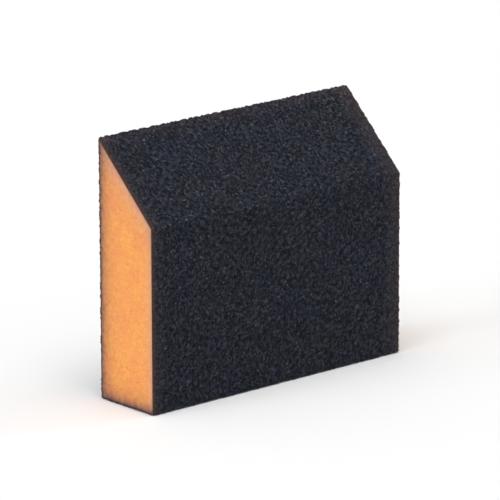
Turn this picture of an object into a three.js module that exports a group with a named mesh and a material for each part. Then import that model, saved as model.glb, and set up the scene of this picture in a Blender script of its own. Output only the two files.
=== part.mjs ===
// An angled sanding block: a foam bar with one bevelled long edge, coated with abrasive on its four
// long sides and left bare at both ends.
//
// Millimetres, +Z up. The block stands on its narrow bottom edge, and the origin is on the floor
// under its middle. X runs along the length, and Y through the thickness, with the front at -Y.
//
// It is built up as the real one is. The two wide sides are coated first, while the foam is still a
// slab. The slab is then cut into bars, and the two cut edges, bottom and bevel, are coated over the
// cut ends of the wide coats. The bars are cut to length last, so every layer ends flush. A coat is
// a layer of bond, the resin next to the foam, and a layer of grit, which is grains set in resin.
import * as THREE from 'three';

// Driving dimensions. The two heights are taken at the sharp corners, before they are softened.
const length = 100;
const thickness = 24.9;
const backHeight = 81.8;
const frontHeight = 58;
const bondThickness = 0.1;
const gritThickness = 0.5;
const cornerSetback = 0.5;
const cornerSteps = 6;

const coatThickness = bondThickness + gritThickness;
const bevelRun = new THREE.Vector2(thickness, backHeight - frontHeight);

// The four coated sides of the cross-section, in (y, z): a point on each and the way it faces.
const front = {
  point: new THREE.Vector2(-thickness / 2, 0),
  outward: new THREE.Vector2(-1, 0),
};
const back = {
  point: new THREE.Vector2(thickness / 2, 0),
  outward: new THREE.Vector2(1, 0),
};
const bottom = {
  point: new THREE.Vector2(0, 0),
  outward: new THREE.Vector2(0, -1),
};
const bevel = {
  point: new THREE.Vector2(-thickness / 2, frontHeight),
  outward: new THREE.Vector2(-bevelRun.y, bevelRun.x).normalize(),
};

function foamMaterial() {
  return new THREE.MeshStandardMaterial({ color: 0xf3a360, roughness: 0.95, metalness: 0 });
}

function bondMaterial() {
  return new THREE.MeshStandardMaterial({ color: 0x2a1f1c, roughness: 0.6, metalness: 0 });
}

function gritMaterial() {
  return new THREE.MeshStandardMaterial({ color: 0x25282f, roughness: 0.8, metalness: 0 });
}

// Where two sides meet after each has moved inward by its own depth.
function corner(sideA, depthA, sideB, depthB) {
  const a = sideA.outward;
  const b = sideB.outward;
  const reachA = a.dot(sideA.point) - depthA;
  const reachB = b.dot(sideB.point) - depthB;
  const y = reachA * b.y - reachB * a.y;
  const z = reachB * a.x - reachA * b.x;
  return new THREE.Vector2(y, z).divideScalar(a.cross(b));
}

// The whole section, moved inward on all four sides.
function insetSection(depth) {
  return new THREE.Shape([
    corner(front, depth, bottom, depth),
    corner(bottom, depth, back, depth),
    corner(back, depth, bevel, depth),
    corner(bevel, depth, front, depth),
  ]);
}

// One layer of a side's coat, from outerDepth to innerDepth, between two neighbouring sides. It
// stops at endDepth inside both of them.
function layer(side, outerDepth, innerDepth, neighbours, endDepth) {
  const [first, second] = neighbours;
  return new THREE.Shape([
    corner(side, outerDepth, first, endDepth),
    corner(side, outerDepth, second, endDepth),
    corner(side, innerDepth, second, endDepth),
    corner(side, innerDepth, first, endDepth),
  ]);
}

// A point a little way from one point towards another.
function stepTowards(from, to, distance) {
  const direction = to.clone().sub(from).normalize();
  return from.clone().addScaledVector(direction, distance);
}

// Adds a softened corner to an outline that comes from one point, turns, and leaves to another.
function roundCorner(shape, before, turn, after) {
  const start = stepTowards(turn, before, cornerSetback);
  const end = stepTowards(turn, after, cornerSetback);
  shape.lineTo(start.x, start.y);
  shape.quadraticCurveTo(turn.x, turn.y, end.x, end.y);
}

// The grit of an edge coat. It turns round both of the block's corners, covers the ends of its own
// bond, and meets the grit of the wide sides. Its outside corners are softened.
function wrappingGrit(side) {
  const footFront = corner(side, coatThickness, front, 0);
  const turnFront = corner(side, 0, front, 0);
  const turnBack = corner(side, 0, back, 0);
  const footBack = corner(side, coatThickness, back, 0);
  const inside = [
    corner(side, coatThickness, back, gritThickness),
    corner(side, gritThickness, back, gritThickness),
    corner(side, gritThickness, front, gritThickness),
    corner(side, coatThickness, front, gritThickness),
  ];
  const shape = new THREE.Shape();
  shape.moveTo(footFront.x, footFront.y);
  roundCorner(shape, footFront, turnFront, turnBack);
  roundCorner(shape, turnFront, turnBack, footBack);
  for (const point of [footBack, ...inside]) {
    shape.lineTo(point.x, point.y);
  }
  return shape;
}

// A section swept along the whole length. Sections are drawn in (y, z), so the sweep is turned to
// run along x.
function sweep(name, section, material) {
  const geometry = new THREE.ExtrudeGeometry(section, {
    depth: length,
    bevelEnabled: false,
    curveSegments: cornerSteps,
  });
  const mesh = new THREE.Mesh(geometry, material);
  const axes = new THREE.Matrix4().makeBasis(
    new THREE.Vector3(0, 1, 0),
    new THREE.Vector3(0, 0, 1),
    new THREE.Vector3(1, 0, 0),
  );
  mesh.name = name;
  mesh.quaternion.setFromRotationMatrix(axes);
  mesh.position.x = -length / 2;
  return mesh;
}

// A wide side's coat stops where the slab was cut, under the coats of the bottom and the bevel.
function wideCoat(name, side) {
  const ends = [bottom, bevel];
  const grit = layer(side, 0, gritThickness, ends, coatThickness);
  const bond = layer(side, gritThickness, coatThickness, ends, coatThickness);
  const coat = new THREE.Group();
  coat.add(sweep(`${name}_grit`, grit, gritMaterial()));
  coat.add(sweep(`${name}_bond`, bond, bondMaterial()));
  return coat;
}

// A cut edge's coat: its bond stops short of both wide faces, and its grit wraps round it.
function edgeCoat(name, side) {
  const bond = layer(side, gritThickness, coatThickness, [front, back], gritThickness);
  const coat = new THREE.Group();
  coat.add(sweep(`${name}_grit`, wrappingGrit(side), gritMaterial()));
  coat.add(sweep(`${name}_bond`, bond, bondMaterial()));
  return coat;
}

const block = new THREE.Group();
block.add(sweep('foam_core', insetSection(coatThickness), foamMaterial()));
block.add(wideCoat('front', front));
block.add(wideCoat('back', back));
block.add(edgeCoat('bottom', bottom));
block.add(edgeCoat('bevel', bevel));

export default block;
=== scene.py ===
"""The looks of an angled sanding block: porous foam, and a coat made of separate abrasive grains.

The block's section is a four-sided outline in (y, z), swept along x. It is followed clockwise as seen
from +X: up the front, up the bevel, down the back and along the bottom. Every length is in metres.
"""

import math

import bmesh
import bpy
import numpy as np
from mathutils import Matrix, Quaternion, Vector


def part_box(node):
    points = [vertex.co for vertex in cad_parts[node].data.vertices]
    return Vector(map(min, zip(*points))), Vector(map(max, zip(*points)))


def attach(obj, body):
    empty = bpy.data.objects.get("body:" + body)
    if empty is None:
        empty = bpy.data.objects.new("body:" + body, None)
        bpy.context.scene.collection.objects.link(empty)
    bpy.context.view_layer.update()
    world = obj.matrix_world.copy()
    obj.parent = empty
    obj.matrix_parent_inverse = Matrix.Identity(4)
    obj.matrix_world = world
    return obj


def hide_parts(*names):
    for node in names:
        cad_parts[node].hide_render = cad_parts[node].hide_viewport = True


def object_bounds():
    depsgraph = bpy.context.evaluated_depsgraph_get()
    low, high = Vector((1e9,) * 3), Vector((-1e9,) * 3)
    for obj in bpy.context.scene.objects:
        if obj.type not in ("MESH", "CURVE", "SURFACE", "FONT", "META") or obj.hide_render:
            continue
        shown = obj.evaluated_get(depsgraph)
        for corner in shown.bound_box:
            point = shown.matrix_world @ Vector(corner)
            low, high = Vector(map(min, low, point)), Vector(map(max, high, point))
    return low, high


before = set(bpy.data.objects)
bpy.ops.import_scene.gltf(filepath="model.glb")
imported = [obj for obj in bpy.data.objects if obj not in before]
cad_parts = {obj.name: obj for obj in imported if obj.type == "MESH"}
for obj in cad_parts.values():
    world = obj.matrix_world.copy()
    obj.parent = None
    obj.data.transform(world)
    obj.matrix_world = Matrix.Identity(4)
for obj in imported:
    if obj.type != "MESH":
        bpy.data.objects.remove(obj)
cad_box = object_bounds()

MM = 0.001
SEED = 7
PLACE_DIGITS = 7  # the CAD's corners are told apart to this many decimals of a metre
SAME_PLACE = 1e-8  # points closer than this count as one
NEAR = 1e-7  # how exactly a point lies on the plane or line that it was put on

# The four sides in the order that the section is followed.
SIDES = ["front", "bevel", "back", "bottom"]
WIDE_SIDES = {"front", "back"}

# Thicknesses and places come from the frame.
BLOCK_LOW, BLOCK_HIGH = cad_box
FOAM_LOW, FOAM_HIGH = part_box("foam_core")
COAT = FOAM_LOW.y - BLOCK_LOW.y
BOND = FOAM_LOW.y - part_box("front_bond")[0].y
GRIT = COAT - BOND
CORNER_SETBACK = 0.5 * MM  # how far a softened corner starts before the sharp one, as in the CAD

# Grains. Each is a ridge with two ends, with six valley points round it, three to an end.
GRAIN_SPACING = 0.64 * MM
SPARE_COLUMNS = 8  # grains in each row that lie past the block's ends and are trimmed off
VALLEYS_PER_END = 3
VALLEYS_PER_GRAIN = 2 * VALLEYS_PER_END
FACES_PER_GRAIN = VALLEYS_PER_GRAIN + 2  # one for each stretch between valleys, and two by the ridge
GRAIN_SCATTER = 0.27  # of the spacing, each way
VALLEY_SCATTER = 0.10  # of the spacing, each way
DRIFT = 0.14 * MM  # how far smooth waves bend the rows of grains, so that no row shows
RIDGE_REACH = (0.1, 0.75)  # how far each end of a grain's ridge reaches towards the valleys round it
SWELL_DEPTH = 0.10 * MM  # the deepest of the coat's gentle hollows, where grains lie less thickly
PEAK_DEPTH = 0.12 * MM  # the lowest grain's depth below the highest in the same part of the coat
RIDGE_DROP = 0.10 * MM  # the most that one end of a grain's ridge lies below its peak
VALLEY_DEPTH = (0.26 * MM, 0.36 * MM)
VALLEY_SWELL = 0.4  # how much of the coat's hollows a valley follows
STEEPEST_FLANK = 1.4  # rise over run, which keeps every grain's side open to the light
DEEPEST = 0.82  # share of the grit's thickness that a valley and a chip may take between them
SECTION_ROOM = 0.75  # share of the way to the middle of a thin corner that a valley may take
CLUMP_SHARE = 0.35  # how much of a grain's tone comes from its patch, and not from chance

# Wear of the coat.
TEAR_DEPTH = 0.58 * MM  # how far in from the cut ends the coat's edge may have broken off
TEAR_WIDTH = 1.5 * MM  # how far in from the ends the grains are moved to make room for that
CHIP_DEPTH = 0.52 * MM  # how far in a knife-sharp corner may be chipped, and blunt ones less
CHIP_WIDTH = 0.9 * MM

# Smooth random waves: their shortest and longest length, and the share from 0 to 1 that a wave is
# turned into, as its middle and how far it swings from there.
WAVE_COUNT = 60
DRIFT_LENGTHS = (4 * MM, 9 * MM)
SWELL_LENGTHS = (1.6 * MM, 5 * MM)
SWELL_SWING = (0.5, 0.3)
CLUMP_LENGTHS = (1.2 * MM, 3 * MM)  # patches of lighter and darker grains
CLUMP_SWING = (0.5, 0.4)
TEAR_LENGTHS = (1.2 * MM, 5 * MM)
TEAR_SWING = (0.3, 0.4)
CHIP_LENGTHS = (1.0 * MM, 4 * MM)
CHIP_SWING = (0.35, 0.4)

# Foam.
FOAM_STEP = 0.20 * MM
PORE_SPACING = 0.52 * MM
PORE_RADIUS = (0.25, 0.75)  # of the spacing
PORE_DEPTH = 0.22 * MM
PORE_DEPTH_ROOT = (0.1, 1.0)  # its square is a pore's share of the full depth, so most are shallow
EDGE_ROLL = 0.10 * MM  # how far the foam's cut face drops where it meets the coat
EDGE_ROLL_WIDTH = 0.4 * MM
EDGE_HIGHLIGHT_WIDTH = {"front": 1.2 * MM, "bevel": 2.2 * MM}  # how far in from the foam's two front edges the painted highlight reaches
DARK_BAND_WIDTH = 0.3 * MM  # how far the thin darker, browner band along the coat reaches into the foam
# Painted shade along each of the foam's sides, tinted grey and strongest at the back and the bottom: how
# strong it is at each side, and how far in it reaches.
EDGE_SHADE = {
    "front": (0.22, 1.5 * MM),
    "bevel": (0.28, 3.5 * MM),
    "back": (0.95, 2.5 * MM),
    "bottom": (0.95, 2.5 * MM),
}

# Materials. Noise mostly stays within its span, which is stretched over all that it changes.
NOISE_SPAN = (0.3, 0.7)
CLOUD_SPAN = (0.32, 0.68)
PATCH_SPAN = (0.35, 0.65)
USUAL_SPECULAR = 0.5

# The grit's colours, as linear red, green and blue. A hue is one that multiplies the colour below it.
GRAIN_DARK = (0.0046, 0.0059, 0.0098)
GRAIN_LIGHT = (0.0275, 0.0333, 0.0540)
GRAIN_CONTRAST = 1.8  # the power that leaves most grains dark
GRAIN_HUES = ((0.78, 0.98, 1.2), (1.25, 1.0, 0.83))
PATCH_HUES = ((0.95, 1.0, 1.07), (1.07, 1.0, 0.94))
PATCH_SIZE = 14 * MM
# A few grains are painted pale, as glints: a painted highlight.
PAINTED_GLINT_COLOUR = (0.085, 0.085, 0.090)
PAINTED_GLINT_TINTS = (0.98, 1.0)  # the tints at which a grain starts to be painted as a glint, and is painted in full
# Painted shade: the grit is darker in its deepest valleys, between the grains.
VALLEY_SHADE_COLOUR = (0.0030, 0.0035, 0.0050)
VALLEY_SHADE_RELIEF = (0.5, 0.95)  # the depths at which it starts and is full, as shares of the grit
GRIT_ROUGHNESS = (0.6, 0.35)  # of the darkest and the lightest grain
GRIT_SPECULAR = (0.08, 0.34)
GRIT_TEXTURE_SIZE = 0.12 * MM
GRIT_TEXTURE_DETAIL = 3.0
GRIT_TEXTURE_DEPTH = 0.02 * MM
GRIT_TEXTURE_STRENGTH = 0.3

# A pale grey towards the grit's two ends, a painted highlight along its top, and the brown that the saw
# has smeared on it. Each has the share of it that shows at the very edge, and how far in it fades out.
GRIT_PALE_GREY = (0.072, 0.054, 0.055)
PALER_LEFT = (0.28, 5 * MM)
PALER_RIGHT = (0.40, 8 * MM)
# Painted highlight along the top: the grain is brightened by this hue, and partly turned to the pale
# grey.
TOP_HIGHLIGHT_HUE = (6.0, 3.6, 2.3)
TOP_HIGHLIGHT_GREY_SHARE = 0.5  # how much of the painted highlight is the pale grey, and not brightened grain
TOP_HIGHLIGHT = (0.28, 4 * MM)
SMEAR_COLOUR = (0.072, 0.032, 0.018)
SMEARED_LEFT = (0.9, 1.4 * MM)
SMEARED_RIGHT = (0.4, 1.4 * MM)

# The bond's resin.
RESIN_DARK = (0.014, 0.008, 0.006)
RESIN_LIGHT = (0.05, 0.026, 0.018)
RESIN_ROUGHNESS = (0.45, 0.7)
STREAK_SIZE = 0.6 * MM
STREAK_DETAIL = 4.0
STREAK_DEPTH = 0.05 * MM
STREAK_STRENGTH = 0.5

# The foam's colours, and how much of each shows at most.
CLOUD_COLOURS = ((0.85, 0.335, 0.118), (0.88, 0.405, 0.103))
CLOUD_SIZE = 6 * MM
MOTTLE_COLOUR = (0.80, 0.285, 0.080)
MOTTLE_SHARE = 0.5
MOTTLE_SIZE = 1.6 * MM
# Painted shade: darker in each cell's hollow middle.
CELL_SHADE_COLOUR = (0.60, 0.19, 0.05)
CELL_SHADE_SHARE = 0.30
CELL_SIZE = 0.32 * MM
CELL_HOLLOW = 0.1  # in cells: how far from a cell's middle its wall starts to rise
CELL_RIM = (0.3, 0.8)  # in cells: how far out it is at its full height, which varies
CELL_RIM_SIZE = 0.9 * MM
CELL_DEPTH = 0.10 * MM
CELL_STRENGTH = 0.5
# Painted shade: darker in the pores' pits.
PORE_SHADE_COLOUR = (0.60, 0.18, 0.05)
PORE_SHADE_SHARE = 0.40
# Painted highlight: paler along the foam's front edges.
EDGE_HIGHLIGHT_COLOUR = (0.76, 0.45, 0.33)
EDGE_HIGHLIGHT_SHARE = 0.75
# Painted shade along the foam's sides: tinted grey, and in patches.
EDGE_SHADE_COLOUR = (0.058, 0.045, 0.075)
EDGE_SHADE_PATCHES = (0.8, 1.15)
# A thin darker, browner band in the foam along the coat.
DARK_BAND_COLOUR = (0.16, 0.07, 0.04)
DARK_BAND_SHARE = 0.65
FOAM_ROUGHNESS = (1.0, 0.8)  # in a cell's middle and on its wall
FOAM_SPECULAR = 0.2

# Camera. An azimuth of 0 is in front of the block, and angles are in degrees.
CAMERA_AZIMUTH = -41.25
CAMERA_ELEVATION = 15.48
CAMERA_ROLL = -0.16
CAMERA_DISTANCE = 1.524
CAMERA_LENS = 361.0
SENSOR_WIDTH = 36.0
AIM_RIGHT = -0.61 * MM
AIM_UP = -1.00 * MM

# Light and floor.
LIGHT_DISTANCE = 20.0
SOFTBOXES = [  # name, azimuth, elevation, width and power
    ("overhead", -40, 75, 15.0, 2650),
    ("left", -95, 25, 12.5, 1450),
    ("right", 68, 47, 6.0, 400),
]
SKY_STRENGTH = 0.5
HORIZON_STRENGTH = 1.05
HORIZON_GLOW = 8.0  # degrees above the horizon where the glow has faded
WHITE = (1.0, 1.0, 1.0)
FLOOR_COLOUR = (0.81, 0.81, 0.81)
FLOOR_SIZE = 8.0
FLOOR_GAP = 0.05 * MM


# ---------------------------------------------------------------- the section

def swept_outline(node):
    """The (y, z) corners of a CAD node's section, clockwise from the lowest one at the front."""
    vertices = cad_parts[node].data.vertices
    places = {(round(v.co.y, PLACE_DIGITS), round(v.co.z, PLACE_DIGITS)) for v in vertices}
    corners = np.array(sorted(places))
    middle = corners.mean(axis=0)
    around = np.arctan2(corners[:, 1] - middle[1], corners[:, 0] - middle[0])
    corners = corners[np.argsort(-around)]
    start = np.argmin(corners.sum(axis=1))
    return np.roll(corners, -start, axis=0)


FOAM_OUTLINE = swept_outline("foam_core")


def side_facings(outline):
    """The way that each side of an outline faces, as unit vectors."""
    runs = np.roll(outline, -1, axis=0) - outline
    runs /= np.linalg.norm(runs, axis=1, keepdims=True)
    return np.stack([-runs[:, 1], runs[:, 0]], axis=1)


def corner_point(index, before, after):
    """A corner of the foam, after the side before it and the side after it move out by these lengths."""
    index %= len(SIDES)
    facings = side_facings(FOAM_OUTLINE)
    first, second = facings[index - 1], facings[index]
    shared = first @ second
    move = before * (first - shared * second) + after * (second - shared * first)
    return FOAM_OUTLINE[index] + move / (1 - shared * shared)


class Ring:
    """The block's outer outline with softened corners, as a closed line measured from its start.

    It is a list of spans: at each corner an arc, then the flat of the side that follows. Arcs have
    even numbers and flats have odd ones.
    """

    def __init__(self):
        outline = np.array([corner_point(i, COAT, COAT) for i in range(len(SIDES))])
        facings = side_facings(outline)
        turns = [math.acos(facings[i - 1] @ facings[i]) for i in range(len(SIDES))]
        spans = []
        for i in range(len(SIDES)):
            spans.append(self._arc(outline[i], facings[i - 1], facings[i], turns[i]))
            spans.append(self._flat(outline[i], outline[(i + 1) % len(SIDES)], facings[i]))
        columns = [np.array(column) for column in zip(*spans)]
        self.anchors, self.runs, self.radii, self.angles, self.turns, self.lengths = columns
        self.corner_turn = np.array(turns)
        self.starts = np.concatenate([[0], np.cumsum(self.lengths)[:-1]])
        self.length = sum(self.lengths)

    @staticmethod
    def _arc(corner, facing_before, facing_after, turn):
        """A span: its anchor, straight run, radius, first angle, turn and length."""
        radius = CORNER_SETBACK / math.tan(turn / 2)
        outward = (facing_before + facing_after) / (1 + facing_before @ facing_after)
        angle = math.atan2(facing_before[1], facing_before[0])
        return corner - outward * radius, np.zeros(2), radius, angle, -turn, radius * turn

    @staticmethod
    def _flat(start, end, facing):
        """A span with no radius and no turn, between the softened corners at its two ends."""
        along = (end - start) / np.linalg.norm(end - start)
        run = end - start - 2 * along * CORNER_SETBACK
        angle = math.atan2(facing[1], facing[0])
        return start + along * CORNER_SETBACK, run, 0.0, angle, 0.0, np.linalg.norm(run)

    def _span(self, s):
        s = np.mod(s, self.length)
        span = np.searchsorted(self.starts, s, side="right") - 1
        return span, (s - self.starts[span]) / self.lengths[span]

    def at(self, s):
        """Points (y, z) on the ring at distances s round it, and the way that the ring faces there."""
        span, share = self._span(s)
        angle = self.angles[span] + share * self.turns[span]
        facing = np.stack([np.cos(angle), np.sin(angle)], axis=-1)
        point = self.anchors[span] + share[..., None] * self.runs[span]
        return point + self.radii[span][..., None] * facing, facing

    def room(self, s):
        """How far in from the ring the section's middle is, which is little near a thin corner."""
        span, share = self._span(s)
        side, is_flat = span // 2, span % 2 == 1
        along = share * self.lengths[span]
        left = self.lengths[span] - along
        narrow = 1 / np.tan(self.corner_turn / 2)
        from_start = (along + CORNER_SETBACK) * narrow[side]
        from_end = (left + CORNER_SETBACK) * narrow[(side + 1) % len(SIDES)]
        arc_room = CORNER_SETBACK * narrow[side]
        return np.where(is_flat, np.minimum(from_start, from_end), arc_room)

    def joint(self, index, at_start):
        """Where a wide side's coat meets the coat that wraps round the corner at one of its ends."""
        flat = 2 * index + 1
        turn = self.corner_turn[index if at_start else (index + 1) % len(SIDES)]
        reach = COAT / math.sin(turn) - CORNER_SETBACK
        if at_start:
            return self.starts[flat] + reach
        return self.starts[flat] + self.lengths[flat] - reach

    def corner_middle(self, index):
        """The middle of the arc at a corner. The first corner comes round again after the last."""
        arc = 2 * (index % len(SIDES))
        turns_round = self.length if index >= len(SIDES) else 0.0
        return self.starts[arc] + self.lengths[arc] / 2 + turns_round

    def short_way(self, distance):
        """A distance round the ring with whole turns taken off, so that it is the short way."""
        return distance - self.length * np.round(distance / self.length)


RING = Ring()


# ---------------------------------------------------------------- the grains

class Waves:
    """A smooth random field over x and s that closes round the ring. It mostly stays within -2 and 2."""

    def __init__(self, rng, lengths):
        shortest, longest = lengths
        size = 2 * math.pi / (shortest * (longest / shortest) ** rng.uniform(0, 1, WAVE_COUNT))
        heading = rng.uniform(0, 2 * math.pi, WAVE_COUNT)
        self.along = size * np.cos(heading)
        turns = np.round(size * np.sin(heading) * RING.length / (2 * math.pi))
        self.around = 2 * math.pi * turns / RING.length
        self.phase = rng.uniform(0, 2 * math.pi, WAVE_COUNT)

    def __call__(self, x, s):
        waves = [
            np.sin(along * x + around * s + phase)
            for along, around, phase in zip(self.along, self.around, self.phase)
        ]
        return np.sum(waves, axis=0) * math.sqrt(2 / WAVE_COUNT)

    def share(self, x, s, swing):
        """The field turned into a share from 0 to 1, by its middle and its swing."""
        return np.clip(swing[0] + swing[1] * self(x, s), 0, 1)


class Grains:
    """Grains on a loose hexagonal lattice that closes round the ring.

    Each grain is a crushed crystal: a ridge with two ends, and six valley points that it shares with
    its neighbours. A point is (x, s, height), with s the distance round the ring.
    """

    def __init__(self, rng):
        row_step = GRAIN_SPACING * math.sqrt(3) / 2
        half_length = (BLOCK_HIGH.x - BLOCK_LOW.x) / 2
        self.rows = 2 * round(RING.length / row_step / 2)
        self.columns = 2 * math.ceil(half_length / GRAIN_SPACING) + SPARE_COLUMNS
        self.row_step = RING.length / self.rows
        self.swell_waves = Waves(rng, SWELL_LENGTHS)
        self.centres = self._centres(rng)
        self.valleys = self._valleys(rng)
        self._add_tops(rng)
        self._add_shades(rng)

    def _centres(self, rng):
        row, column = np.mgrid[0:self.rows, 0:self.columns]
        x = (column - (self.columns - 1) / 2 + 0.5 * (row % 2)) * GRAIN_SPACING
        s = row * self.row_step
        scatter = rng.uniform(-GRAIN_SCATTER, GRAIN_SCATTER, (*x.shape, 2)) * GRAIN_SPACING
        drift = np.stack([Waves(rng, DRIFT_LENGTHS)(x, s) for _ in range(2)], axis=-1)
        return np.stack([x, s], axis=-1) + scatter + DRIFT * drift

    def _swell(self, places):
        """How hollow the coat is at (x, s) places, from 0 to 1."""
        return self.swell_waves.share(places[..., 0], places[..., 1], SWELL_SWING)

    def _neighbour_row(self, step):
        """Centres of the next row up (1) or down (-1), in line with the two centres below or above."""
        moved = np.roll(self.centres, -step, axis=0)
        edge = -1 if step > 0 else 0
        moved[edge, :, 1] += step * RING.length
        shifted = moved.copy()
        shifted[1::2] = np.roll(moved, -1, axis=1)[1::2]
        return shifted

    def _valleys(self, rng):
        """Valley points above and below each pair of neighbours in a row, as two layers."""
        right = np.roll(self.centres, -1, axis=1)
        layers = []
        for step in (1, -1):
            middle = (self.centres + right + self._neighbour_row(step)) / 3
            place = middle + rng.uniform(-VALLEY_SCATTER, VALLEY_SCATTER, middle.shape) * GRAIN_SPACING
            depth = rng.uniform(*VALLEY_DEPTH, middle.shape[:2])
            depth += VALLEY_SWELL * SWELL_DEPTH * self._swell(place)
            layers.append(np.concatenate([place, -depth[..., None]], axis=-1))
        return np.stack(layers)

    def _valley_numbers(self, row, column):
        """The six valley points round a grain, in order, as numbers into the flattened layers."""
        shift = row % 2
        above, below = (row + 1) % self.rows, (row - 1) % self.rows
        layer = self.rows * self.columns
        places = [
            (0, row, column), (1, above, column - 1 + shift), (0, row, column - 1),
            (1, row, column - 1), (0, below, column - 1 + shift), (1, row, column),
        ]
        return np.stack([k * layer + r * self.columns + c for k, r, c in places], axis=-1)

    def _add_tops(self, rng):
        """Turns each grain's ridge some way round, and places the ridge's two ends."""
        row, column = np.mgrid[0:self.rows, 1:self.columns - 1]
        row, column = row.ravel(), column.ravel()
        first = rng.integers(0, VALLEYS_PER_GRAIN, (row.size, 1))
        order = (first + np.arange(VALLEYS_PER_GRAIN)) % VALLEYS_PER_GRAIN
        self.ring_of_valleys = np.take_along_axis(self._valley_numbers(row, column), order, axis=1)
        self.centre = self.centres[row, column]
        offsets, floors = self._valleys_by_end()
        ends = offsets.mean(axis=2) * rng.uniform(*RIDGE_REACH, (row.size, 2, 1))
        heights = self._ridge_heights(rng, offsets, floors, ends)
        self.tops = np.concatenate([self.centre[:, None, :] + ends, heights[..., None]], axis=2)

    def _valleys_by_end(self):
        """The valleys by each end of each ridge: offsets from the grain's centre, and heights."""
        valley = self.valleys.reshape(-1, 3)[self.ring_of_valleys]
        offset = valley[..., :2] - self.centre[:, None, :]
        offset[..., 1] = RING.short_way(offset[..., 1])
        by_end = (len(valley), 2, VALLEYS_PER_END)
        return offset.reshape(*by_end, 2), valley[..., 2].reshape(by_end)

    def _ridge_heights(self, rng, offsets, floors, ends):
        """Heights of the ridges' ends: never below their valleys, and with no flank too steep."""
        count = len(self.centre)
        peak = -SWELL_DEPTH * self._swell(self.centre) - PEAK_DEPTH * rng.uniform(0, 1, count)
        height = peak[:, None] - RIDGE_DROP * rng.uniform(0, 1, (count, 2))
        middles = (offsets[:, :, :2] + offsets[:, :, 1:]) / 2
        run = np.linalg.norm(middles - ends[:, :, None], axis=3)
        limit = (floors[:, :, :2] + floors[:, :, 1:]) / 2 + STEEPEST_FLANK * run
        return np.maximum(np.minimum(height, limit.min(axis=2)), floors.max(axis=2))

    def _add_shades(self, rng):
        """Gives each grain a tone, from dark to light, and a tint, both from 0 to 1."""
        count = len(self.centre)
        patch = Waves(rng, CLUMP_LENGTHS).share(*self.centre.T, CLUMP_SWING)
        self.tone = CLUMP_SHARE * patch + (1 - CLUMP_SHARE) * rng.uniform(0, 1, count)
        self.tint = rng.uniform(0, 1, count)

    def faces(self, chosen):
        """Triangles of the chosen grains. Tops are numbered after all the valley points."""
        valley = self.ring_of_valleys[chosen]
        base = self.valleys[..., 0].size
        top = base + 2 * chosen[:, None] + np.arange(2)
        triangles = []
        for k in range(VALLEYS_PER_GRAIN):
            following = (k + 1) % VALLEYS_PER_GRAIN
            here, there = k // VALLEYS_PER_END, following // VALLEYS_PER_END
            triangles.append(np.stack([top[:, here], valley[:, k], valley[:, following]], axis=1))
            if here != there:
                triangles.append(np.stack([top[:, here], valley[:, following], top[:, there]], axis=1))
        return np.concatenate(triangles)

    def points(self):
        return np.concatenate([self.valleys.reshape(-1, 3), self.tops.reshape(-1, 3)])


# ---------------------------------------------------------------- meshes and objects

def store(mesh, label, values, domain="POINT"):
    """Keeps a number for each point or face, which a material reads by its label."""
    mesh.attributes.new(label, "FLOAT", domain).data.foreach_set("value", values)


def add_object(name, mesh, material):
    piece = bpy.data.objects.new(name, mesh)
    bpy.context.scene.collection.objects.link(piece)
    mesh.materials.clear()
    mesh.materials.append(material)
    return piece


# ---------------------------------------------------------------- grit pieces

def coat_stations(index):
    """Where a side's coat starts, turns and ends: distances round the ring, and points below it.

    The points are on the coat's inner face, where its grit meets its bond.
    """
    before, after = (index - 1) % len(SIDES), index + 1
    if SIDES[index] in WIDE_SIDES:
        distances = [RING.joint(index, True), RING.joint(index, False)]
        points = [corner_point(index, 0, BOND), corner_point(after, BOND, 0)]
        return np.array(distances), np.array(points)
    start = RING.joint(before, False)
    end = RING.joint(after % len(SIDES), True) + (RING.length if after >= len(SIDES) else 0)
    distances = [start, RING.corner_middle(index), RING.corner_middle(after), end]
    points = [
        corner_point(index, BOND, 0), corner_point(index, BOND, BOND),
        corner_point(after, BOND, BOND), corner_point(after, 0, BOND),
    ]
    return np.array(distances), np.array(points)


def unrolled(s, stations):
    """Distances round the ring, moved by whole turns to be nearest to the middle of a coat."""
    middle = (stations[0] + stations[-1]) / 2
    return s + RING.length * np.round((middle - s) / RING.length)


def flat_sheet(name, grains, stations):
    """The grains of one coat as a mesh that is still flat, with x, s and height as its coordinates."""
    centre_s = unrolled(grains.centre[:, 1], stations)
    chosen = np.flatnonzero((centre_s >= stations[0]) & (centre_s < stations[-1]))
    used, faces = np.unique(grains.faces(chosen), return_inverse=True)
    faces = faces.reshape(-1, 3)
    points = grains.points()[used]
    points[:, 1] = unrolled(points[:, 1], stations)
    mesh = bpy.data.meshes.new(name)
    mesh.from_pydata(points.tolist(), [], faces.tolist())
    for label, values in (("tone", grains.tone), ("tint", grains.tint)):
        store(mesh, label, np.tile(values[chosen], FACES_PER_GRAIN), "FACE")
    return mesh


def lies_at(vertex, x):
    return abs(vertex.co.x - x) < NEAR


def is_end(vertex):
    return lies_at(vertex, BLOCK_LOW.x) or lies_at(vertex, BLOCK_HIGH.x)


def trim_ends(bm):
    """Cuts the sheet straight through its grains at both ends of the block."""
    for x, outward in ((BLOCK_LOW.x, -1), (BLOCK_HIGH.x, 1)):
        geometry = bm.verts[:] + bm.edges[:] + bm.faces[:]
        bmesh.ops.bisect_plane(bm, geom=geometry, dist=SAME_PLACE, plane_co=(x, 0, 0),
                               plane_no=(outward, 0, 0), clear_outer=True)


def rim_loop(bm):
    """The vertices round the sheet's rim, in order."""
    edge = next(e for e in bm.edges if e.is_boundary)
    start, vertex = edge.verts
    loop = [start]
    while vertex != start:
        loop.append(vertex)
        edge = next(e for e in vertex.link_edges if e.is_boundary and e != edge)
        vertex = edge.other_vert(vertex)
    return loop


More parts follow.
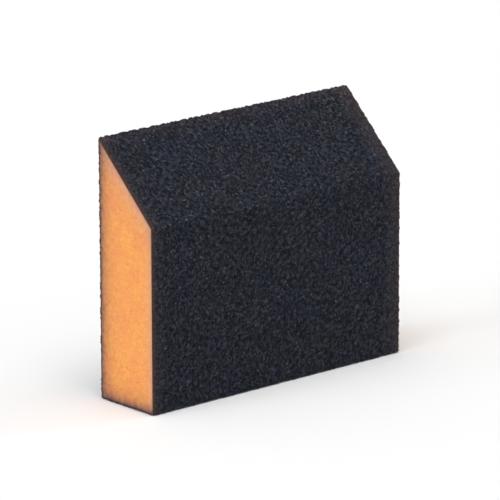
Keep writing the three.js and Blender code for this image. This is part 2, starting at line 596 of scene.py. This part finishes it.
def joint_runs(rim):
    """The two stretches of the rim that run along the coat's joints, from end to end of the block."""
    on_joint = []
    for k, vertex in enumerate(rim):
        following = rim[(k + 1) % len(rim)]
        on_joint.append(not (is_end(rim[k - 1]) and is_end(vertex) and is_end(following)))
    first = next(k for k in range(len(rim)) if on_joint[k] and not on_joint[k - 1])
    runs = []
    for k in range(first, first + len(rim)):
        if on_joint[k % len(rim)]:
            if not on_joint[(k - 1) % len(rim)]:
                runs.append([])
            runs[-1].append(k % len(rim))
    return runs


def under_places(rim, stations):
    """Where the underside's rim lies below the sheet's: straight along the joints, in even order."""
    places = [[v.co.x, min(max(v.co.y, stations[0]), stations[-1]), -GRIT] for v in rim]
    for run in joint_runs(rim):
        along = sorted((rim[k].co.x for k in run), reverse=rim[run[0]].co.x > rim[run[-1]].co.x)
        middle = sum(rim[k].co.y for k in run) / len(run)
        station = min((stations[0], stations[-1]), key=lambda joint: abs(joint - middle))
        for k, x in zip(run, along):
            places[k] = [x, station, -GRIT]
    return places


def close_sheet(bm, stations):
    """Gives the sheet its edge walls and its flat underside, which lies at the grit's full depth."""
    rim = rim_loop(bm)
    under = [bm.verts.new(place) for place in under_places(rim, stations)]
    for k in range(len(rim)):
        bm.faces.new([rim[k - 1], rim[k], under[k], under[k - 1]])
    for x in (BLOCK_LOW.x, BLOCK_HIGH.x):
        at_end = [v for v in under if lies_at(v, x)]
        for station in stations[1:-1]:
            min(at_end, key=lambda v: abs(v.co.y - station)).co.y = station
    bmesh.ops.remove_doubles(bm, verts=under, dist=SAME_PLACE)
    under = [v for v in bm.verts if abs(v.co.z + GRIT) < NEAR]
    fill_underside(bm, under, stations)
    bmesh.ops.recalc_face_normals(bm, faces=bm.faces)


def fill_underside(bm, under, stations):
    """One flat face between each pair of stations, which are rounded as a mesh rounds its points."""
    for k in range(len(stations) - 1):
        low, high = np.float32(stations[k]), np.float32(stations[k + 1])
        inside = [v for v in under if low - NEAR <= v.co.y <= high + NEAR]
        left = [v for v in inside if lies_at(v, BLOCK_LOW.x)]
        right = [v for v in inside if lies_at(v, BLOCK_HIGH.x)]
        middle = [v for v in inside if not is_end(v)]
        start_line = [v for v in middle if abs(v.co.y - low) < NEAR] if k == 0 else []
        end_line = [v for v in middle if abs(v.co.y - high) < NEAR] if k == len(stations) - 2 else []
        loop = sorted(left, key=lambda v: v.co.y)
        loop += sorted(end_line, key=lambda v: v.co.x)
        loop += sorted(right, key=lambda v: -v.co.y)
        loop += sorted(start_line, key=lambda v: -v.co.x)
        bm.faces.new(loop)


class Wear:
    """The coat's broken edges: torn back at the cut ends, and chipped along the four corners."""

    def __init__(self, rng):
        self.tear_waves = Waves(rng, TEAR_LENGTHS)
        self.chip_waves = [Waves(rng, CHIP_LENGTHS) for _ in SIDES]

    def tear(self, end, s):
        """How far the cut edge has broken back along x, at one end of the block."""
        return TEAR_DEPTH * self.tear_waves.share(end, s, TEAR_SWING)

    def chip(self, x, s):
        """How far each point moves in (y, z) because a corner near it is chipped."""
        facings = side_facings(FOAM_OUTLINE)
        move = np.zeros((len(x), 2))
        for k, waves in enumerate(self.chip_waves):
            away = RING.short_way(s - RING.corner_middle(k))
            sharpness = math.sin(RING.corner_turn[k] / 2)
            chipped = waves.share(x, 0, CHIP_SWING)
            depth = CHIP_DEPTH * sharpness * chipped * np.exp(-(away / CHIP_WIDTH) ** 2)
            outward = facings[k - 1] + facings[k]
            move -= depth[:, None] * outward / np.linalg.norm(outward)
        return move


def wrap_round_block(mesh, stations, inner_points, wear):
    """Turns x, s and height into places on the block, and keeps how deep in the grit each point is."""
    flat = np.empty(len(mesh.vertices) * 3)
    mesh.vertices.foreach_get("co", flat)
    x, s, height = flat.reshape(-1, 3).T
    is_under = np.abs(height + GRIT) < NEAR
    point, facing = RING.at(s)
    chip = wear.chip(x, s)
    room = np.minimum(SECTION_ROOM * RING.room(s), DEEPEST * GRIT + (chip * facing).sum(axis=1))
    depth = np.minimum(-height, room)
    outer = point - facing * depth[:, None] + chip
    inner = np.stack([np.interp(s, stations, inner_points[:, k]) for k in range(2)], axis=1)
    place = np.where(is_under[:, None], inner, outer)
    near_end = np.clip(1 - (BLOCK_HIGH.x - np.abs(x)) / TEAR_WIDTH, 0, 1)
    torn = near_end * np.sign(x) * wear.tear(np.sign(x) * BLOCK_HIGH.x, s)
    x = np.where(is_under, x, x - torn)
    mesh.vertices.foreach_set("co", np.column_stack([x, place]).ravel())
    # The grit's material paints shade in the deepest valleys from this.
    store(mesh, "relief", np.where(is_under, 1.0, depth / GRIT))
    mesh.update()


def add_grit(index, grains, wear, material):
    """One side's coat of grains, as a closed mesh."""
    side = SIDES[index]
    stations, inner_points = coat_stations(index)
    mesh = flat_sheet(f"{side}_grains", grains, stations)
    bm = bmesh.new()
    bm.from_mesh(mesh)
    trim_ends(bm)
    close_sheet(bm, stations)
    bm.to_mesh(mesh)
    bm.free()
    wrap_round_block(mesh, stations, inner_points, wear)
    piece = add_object(f"{side}_grains", mesh, material)
    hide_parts(f"{side}_grit")
    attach(piece, "root")


# ---------------------------------------------------------------- foam

def foam_grid():
    """A grid over the foam's end face: (y, z) places as rows by columns."""
    (front_y, low), (_, front_top), (back_y, back_top), _ = FOAM_OUTLINE
    columns = round((back_y - front_y) / FOAM_STEP)
    rows = round((front_top + back_top - 2 * low) / 2 / FOAM_STEP)
    across, up = np.meshgrid(np.linspace(0, 1, columns + 1), np.linspace(0, 1, rows + 1))
    y = front_y + across * (back_y - front_y)
    top = front_top + across * (back_top - front_top)
    return y, low + up * (top - low)


def side_distances(y, z):
    """How far inside each of the foam's four sides every place is."""
    return [
        (corner[0] - y) * facing[0] + (corner[1] - z) * facing[1]
        for corner, facing in zip(FOAM_OUTLINE, side_facings(FOAM_OUTLINE))
    ]


def faded(distance, width):
    """A share that falls off smoothly from 1 at a side to almost nothing a few widths inside it."""
    return np.exp(-np.maximum(distance, 0) / width)


def edge_shade_field(y, z):
    """How strong the painted shade is at each place, from 0 to 1: darker towards each side, most towards
    the back and the bottom.
    """
    clean = np.ones_like(y)
    for side, distance in zip(SIDES, side_distances(y, z)):
        amount, reach = EDGE_SHADE[side]
        clean *= 1 - amount * faded(distance, reach)
    return 1 - clean


def edge_highlight_field(y, z):
    """How strong the painted highlight is along the foam's two front edges, from 0 to 1."""
    front, bevel, _, _ = side_distances(y, z)
    return np.maximum(faded(front, EDGE_HIGHLIGHT_WIDTH["front"]), faded(bevel, EDGE_HIGHLIGHT_WIDTH["bevel"]))


def dark_band_field(y, z):
    """How strong the thin darker, browner band along the coat is at each place, from 0 to 1."""
    return faded(np.min(side_distances(y, z), axis=0), DARK_BAND_WIDTH)


def pore_field(y, z, rng):
    """How deep the pores are at each place, from 0 outside them to 1 in the middle of the deepest."""
    low, high = FOAM_OUTLINE.min(axis=0), FOAM_OUTLINE.max(axis=0)
    count = int(np.prod(high - low) / PORE_SPACING ** 2)
    centres = rng.uniform(low, high, (count, 2))
    radii = PORE_SPACING * rng.uniform(*PORE_RADIUS, count)
    depths = rng.uniform(*PORE_DEPTH_ROOT, count) ** 2
    step_y, step_z = y[0, 1] - y[0, 0], z[1, 0] - z[0, 0]
    field = np.zeros_like(y)
    reach = int(math.ceil(radii.max() / min(step_y, step_z))) + 1
    for (py, pz), radius, depth in zip(centres, radii, depths):
        column = int((py - y[0, 0]) / step_y)
        top = z[-1, min(column, z.shape[1] - 1)]
        row = int((pz - z[0, 0]) / (top - z[0, 0]) * (z.shape[0] - 1))
        rows = slice(max(row - reach, 0), row + reach + 1)
        columns = slice(max(column - reach, 0), column + reach + 1)
        away = np.hypot(y[rows, columns] - py, z[rows, columns] - pz) / radius
        pit = depth * np.clip(1 - away ** 2, 0, 1)
        field[rows, columns] = np.maximum(field[rows, columns], pit)
    return field


def foam_end(y, z, rng):
    """How far the foam's surface lies inside the block's end, and how deep its pores are."""
    from_edge = np.min(side_distances(y, z), axis=0)
    rolled = EDGE_ROLL * np.exp(-from_edge / EDGE_ROLL_WIDTH)
    pores = pore_field(y, z, rng) * np.clip(from_edge / EDGE_ROLL_WIDTH, 0, 1)
    return rolled + PORE_DEPTH * pores, pores


def foam_points(y, z, rng):
    """The points of both end faces, and how deep in a pore each one is."""
    points, pores = [], []
    for x, inward in ((FOAM_LOW.x, 1), (FOAM_HIGH.x, -1)):
        depth, pore = foam_end(y, z, rng)
        points.append(np.stack([x + inward * depth, y, z], axis=-1).reshape(-1, 3))
        pores.append(pore.ravel())
    return np.concatenate(points), np.concatenate(pores)


def foam_faces(rows, columns):
    """The faces of the two ends, and the long ones that join the ends' rims."""
    number = np.arange(rows * columns).reshape(rows, columns)
    quads = np.stack([number[:-1, :-1], number[:-1, 1:], number[1:, 1:], number[1:, :-1]], axis=-1)
    near_end = quads.reshape(-1, 4)[:, ::-1]
    far_end = quads.reshape(-1, 4) + rows * columns
    rim = np.concatenate([number[0, :-1], number[:-1, -1], number[-1, :0:-1], number[:0:-1, 0]])
    following = np.roll(rim, -1)
    long_sides = np.stack([rim, following, following + rows * columns, rim + rows * columns], axis=-1)
    return np.concatenate([near_end, far_end]), long_sides


def add_foam(rng, material):
    """The foam as one closed mesh, with fine smooth-shaded ends and plain sides under the coat."""
    y, z = foam_grid()
    points, pores = foam_points(y, z, rng)
    ends, long_sides = foam_faces(*y.shape)
    faces = np.concatenate([ends, long_sides])
    mesh = bpy.data.meshes.new("foam")
    mesh.from_pydata(points.tolist(), [], faces.tolist())
    store(mesh, "pore", pores)
    # Numbers for the material's painted shade along the sides, painted highlight along the front edges
    # and thin dark band along the coat.
    for label, field in (("edge_shade", edge_shade_field), ("edge_highlight", edge_highlight_field), ("dark_band", dark_band_field)):
        store(mesh, label, np.tile(field(y, z).ravel(), 2))
    mesh.polygons.foreach_set("use_smooth", np.arange(len(faces)) < len(ends))
    mesh.update()
    piece = add_object("foam", mesh, material)
    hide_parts("foam_core")
    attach(piece, "root")


# ---------------------------------------------------------------- materials

class Graph:
    """A material's nodes, with short calls for the kinds that this script uses."""

    def __init__(self, name):
        self.material = bpy.data.materials.new(name)
        self.material.use_nodes = True
        self.tree = self.material.node_tree
        self.shader = self.tree.nodes["Principled BSDF"]
        self.place = self.tree.nodes.new("ShaderNodeTexCoord").outputs["Object"]

    def add(self, kind, inputs=None, **settings):
        node = self.tree.nodes.new(kind)
        for name, value in settings.items():
            setattr(node, name, value)
        for name, value in (inputs or {}).items():
            self.feed(node.inputs[name], value)
        return node

    def feed(self, socket, value):
        """Links another node's output to a socket, or sets the socket to a number or a colour."""
        if isinstance(value, bpy.types.NodeSocket):
            self.tree.links.new(value, socket)
        elif isinstance(value, tuple):
            socket.default_value = (*value, 1.0)
        else:
            socket.default_value = value

    def set_surface(self, base_colour, roughness, specular=USUAL_SPECULAR):
        """Sets the shader's colour and gloss."""
        self.feed(self.shader.inputs["Base Color"], base_colour)
        self.feed(self.shader.inputs["Roughness"], roughness)
        self.feed(self.shader.inputs["Specular IOR Level"], specular)

    def noise(self, size, detail=2.0):
        inputs = {"Vector": self.place, "Scale": 1 / size, "Detail": detail}
        return self.add("ShaderNodeTexNoise", inputs).outputs["Fac"]

    def cells(self, size):
        inputs = {"Vector": self.place, "Scale": 1 / size}
        return self.add("ShaderNodeTexVoronoi", inputs).outputs["Distance"]

    def attribute(self, name):
        return self.add("ShaderNodeAttribute", attribute_name=name).outputs["Fac"]

    def ranged(self, value, low, high, to_low=0.0, to_high=1.0):
        inputs = {"Value": value, "From Min": low, "From Max": high, "To Min": to_low, "To Max": to_high}
        return self.add("ShaderNodeMapRange", inputs).outputs["Result"]

    def from_low(self, axis, edge, share, width):
        """A share that is whole at the block's low edge along an axis and fades out over a width."""
        return self.ranged(self.axis(axis), edge, edge + width, share, 0.0)

    def from_high(self, axis, edge, share, width):
        """A share that is whole at the block's high edge along an axis and fades out over a width."""
        return self.ranged(self.axis(axis), edge - width, edge, 0.0, share)

    def from_ends(self, left, right):
        """A share that fades out from both of the block's ends, each with a share and a width."""
        low, high = self.from_low("X", BLOCK_LOW.x, *left), self.from_high("X", BLOCK_HIGH.x, *right)
        return self.maths("MAXIMUM", low, high)

    def maths(self, operation, first, second):
        return self.add("ShaderNodeMath", {0: first, 1: second}, operation=operation).outputs[0]

    def clamped(self, value):
        return self.add("ShaderNodeClamp", {"Value": value}).outputs["Result"]

    def blend(self, share, first, second, mode="MIX"):
        inputs = {0: share, 6: first, 7: second}
        return self.add("ShaderNodeMix", inputs, data_type="RGBA", blend_type=mode).outputs[2]

    def tinted(self, surface, hue):
        return self.blend(1.0, surface, hue, "MULTIPLY")

    def bump(self, height, distance, strength):
        inputs = {"Height": height, "Distance": distance, "Strength": strength}
        self.feed(self.shader.inputs["Normal"], self.add("ShaderNodeBump", inputs).outputs["Normal"])

    def axis(self, name):
        return self.add("ShaderNodeSeparateXYZ", {0: self.place}).outputs[name]


def grain_colour(g, tone, tint):
    """Dark and light grains of slightly different hues, with a few grains painted pale as glints, which
    are painted highlights.
    """
    grain = g.blend(tone, GRAIN_DARK, GRAIN_LIGHT)
    grain = g.tinted(grain, g.blend(tint, *GRAIN_HUES))
    grain = g.tinted(grain, g.blend(g.ranged(g.noise(PATCH_SIZE), *PATCH_SPAN), *PATCH_HUES))
    # Painted glints on a few grains.
    return g.blend(g.ranged(tint, *PAINTED_GLINT_TINTS), grain, PAINTED_GLINT_COLOUR)


def pale_ends_top_highlight_and_smear_colour(g, surface):
    """The grit's colour, paler towards its ends, with a painted highlight along its top and the smeared
    ends laid over it.
    """
    # Paler and greyer towards the grit's ends.
    surface = g.blend(g.from_ends(PALER_LEFT, PALER_RIGHT), surface, GRIT_PALE_GREY)
    # Painted highlight along the top.
    top_highlight = g.blend(TOP_HIGHLIGHT_GREY_SHARE, g.tinted(surface, TOP_HIGHLIGHT_HUE), GRIT_PALE_GREY)
    surface = g.blend(g.from_high("Z", BLOCK_HIGH.z, *TOP_HIGHLIGHT), surface, top_highlight)
    return g.blend(g.from_ends(SMEARED_LEFT, SMEARED_RIGHT), surface, SMEAR_COLOUR)


def grit_material():
    g = Graph("grit")
    tone = g.attribute("tone")
    bright = g.maths("POWER", tone, GRAIN_CONTRAST)
    grain = grain_colour(g, bright, g.attribute("tint"))
    # Painted shade in the deep valleys.
    surface = g.blend(g.ranged(g.attribute("relief"), *VALLEY_SHADE_RELIEF), grain, VALLEY_SHADE_COLOUR)
    roughness = g.ranged(tone, 0.0, 1.0, *GRIT_ROUGHNESS)
    g.set_surface(pale_ends_top_highlight_and_smear_colour(g, surface), roughness, g.ranged(bright, 0.0, 1.0, *GRIT_SPECULAR))
    texture = g.noise(GRIT_TEXTURE_SIZE, GRIT_TEXTURE_DETAIL)
    g.bump(texture, GRIT_TEXTURE_DEPTH, GRIT_TEXTURE_STRENGTH)
    return g.material


def bond_material():
    g = Graph("bond")
    streak = g.noise(STREAK_SIZE, STREAK_DETAIL)
    roughness = g.ranged(streak, *NOISE_SPAN, *RESIN_ROUGHNESS)
    g.set_surface(g.blend(streak, RESIN_DARK, RESIN_LIGHT), roughness)
    g.bump(streak, STREAK_DEPTH, STREAK_STRENGTH)
    return g.material


def foam_colour(g, mottle, wall):
    """The foam: clouds and mottle of orange, with painted shade in the cells' hollows and in the pores.
    """
    base = g.blend(g.ranged(g.noise(CLOUD_SIZE), *CLOUD_SPAN), *CLOUD_COLOURS)
    base = g.blend(g.maths("MULTIPLY", mottle, MOTTLE_SHARE), base, MOTTLE_COLOUR)
    # Painted shade in the cells' hollow middles.
    base = g.blend(g.ranged(wall, 0.0, 1.0, CELL_SHADE_SHARE, 0.0), base, CELL_SHADE_COLOUR)
    # Painted shade in the pores.
    return g.blend(g.maths("MULTIPLY", g.attribute("pore"), PORE_SHADE_SHARE), base, PORE_SHADE_COLOUR)


def shaded_and_highlighted_colour(g, base, mottle):
    """The foam's colour with a painted highlight along its front edges, painted shade along its sides and
    a thin dark band along the coat laid over it.
    """
    # Painted highlight along the front edges.
    base = g.blend(g.maths("MULTIPLY", g.attribute("edge_highlight"), EDGE_HIGHLIGHT_SHARE), base, EDGE_HIGHLIGHT_COLOUR)
    patchy = g.ranged(mottle, 0.0, 1.0, *EDGE_SHADE_PATCHES)
    # Painted shade along the sides, tinted grey and patchy.
    edge_shade = g.clamped(g.maths("MULTIPLY", g.attribute("edge_shade"), patchy))
    base = g.blend(edge_shade, base, EDGE_SHADE_COLOUR)
    # A thin darker band along the coat.
    return g.blend(g.maths("MULTIPLY", g.attribute("dark_band"), DARK_BAND_SHARE), base, DARK_BAND_COLOUR)


def foam_material():
    g = Graph("foam")
    mottle = g.ranged(g.noise(MOTTLE_SIZE), *NOISE_SPAN)
    rim = g.ranged(g.noise(CELL_RIM_SIZE), *NOISE_SPAN, *CELL_RIM)
    wall = g.ranged(g.cells(CELL_SIZE), CELL_HOLLOW, rim)
    base = shaded_and_highlighted_colour(g, foam_colour(g, mottle, wall), mottle)
    g.set_surface(base, g.ranged(wall, 0.0, 1.0, *FOAM_ROUGHNESS), FOAM_SPECULAR)
    g.bump(wall, CELL_DEPTH, CELL_STRENGTH)
    return g.material


# ---------------------------------------------------------------- stage

def towards(azimuth, elevation):
    """The unit vector from the block towards a camera or a light."""
    a, e = math.radians(azimuth), math.radians(elevation)
    return Vector((math.sin(a) * math.cos(e), -math.cos(a) * math.cos(e), math.sin(e)))


def add_camera():
    back = towards(CAMERA_AZIMUTH, CAMERA_ELEVATION)
    right = Vector((0, 0, 1)).cross(back).normalized()
    up = back.cross(right)
    data = bpy.data.cameras.new("camera")
    data.lens = CAMERA_LENS
    data.sensor_width = SENSOR_WIDTH
    camera = bpy.data.objects.new("camera", data)
    bpy.context.scene.collection.objects.link(camera)
    aim = (BLOCK_LOW + BLOCK_HIGH) / 2 + right * AIM_RIGHT + up * AIM_UP
    camera.location = aim + back * CAMERA_DISTANCE
    camera.rotation_mode = "QUATERNION"
    roll = Quaternion((0, 0, 1), math.radians(CAMERA_ROLL))
    camera.rotation_quaternion = (-back).to_track_quat("-Z", "Y") @ roll
    bpy.context.scene.camera = camera


def add_softbox(name, azimuth, elevation, size, power):
    """A square softbox that faces the block."""
    toward = towards(azimuth, elevation)
    data = bpy.data.lights.new(name, "AREA")
    data.size = size
    data.energy = power
    light = bpy.data.objects.new(name, data)
    bpy.context.scene.collection.objects.link(light)
    light.location = toward * LIGHT_DISTANCE
    light.rotation_mode = "QUATERNION"
    light.rotation_quaternion = (-toward).to_track_quat("-Z", "Y")


def add_floor():
    g = Graph("floor")
    g.set_surface(FLOOR_COLOUR, roughness=1.0, specular=0.0)
    half = FLOOR_SIZE / 2
    height = BLOCK_LOW.z - FLOOR_GAP
    corners = [(-half, -half, height), (half, -half, height), (half, half, height), (-half, half, height)]
    mesh = bpy.data.meshes.new("floor")
    mesh.from_pydata(corners, [], [(0, 1, 2, 3)])
    add_object("floor", mesh, g.material)


def add_world():
    """A white studio: bright at the horizon, so that no edge of the floor shows, and dimmer above."""
    world = bpy.data.worlds.new("studio")
    world.use_nodes = True
    nodes, links = world.node_tree.nodes, world.node_tree.links
    direction = nodes.new("ShaderNodeTexCoord").outputs["Generated"]
    parts = nodes.new("ShaderNodeSeparateXYZ")
    links.new(direction, parts.inputs[0])
    strength = nodes.new("ShaderNodeMapRange")
    strength.inputs["From Min"].default_value = 0.0
    strength.inputs["From Max"].default_value = math.sin(math.radians(HORIZON_GLOW))
    strength.inputs["To Min"].default_value = HORIZON_STRENGTH
    strength.inputs["To Max"].default_value = SKY_STRENGTH
    links.new(parts.outputs["Z"], strength.inputs["Value"])
    links.new(strength.outputs["Result"], nodes["Background"].inputs["Strength"])
    nodes["Background"].inputs["Color"].default_value = (*WHITE, 1.0)
    bpy.context.scene.world = world


def add_stage():
    bpy.context.scene.view_settings.view_transform = "Standard"
    add_camera()
    add_floor()
    add_world()
    for softbox in SOFTBOXES:
        add_softbox(*softbox)


# ---------------------------------------------------------------- everything

def build():
    rng = np.random.default_rng(SEED)
    grains = Grains(rng)
    wear = Wear(rng)
    grit = grit_material()
    for index in range(len(SIDES)):
        add_grit(index, grains, wear, grit)
    add_foam(rng, foam_material())
    bond = bond_material()
    for side in SIDES:
        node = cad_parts[f"{side}_bond"]
        node.data.materials.clear()
        node.data.materials.append(bond)
    add_stage()


build()
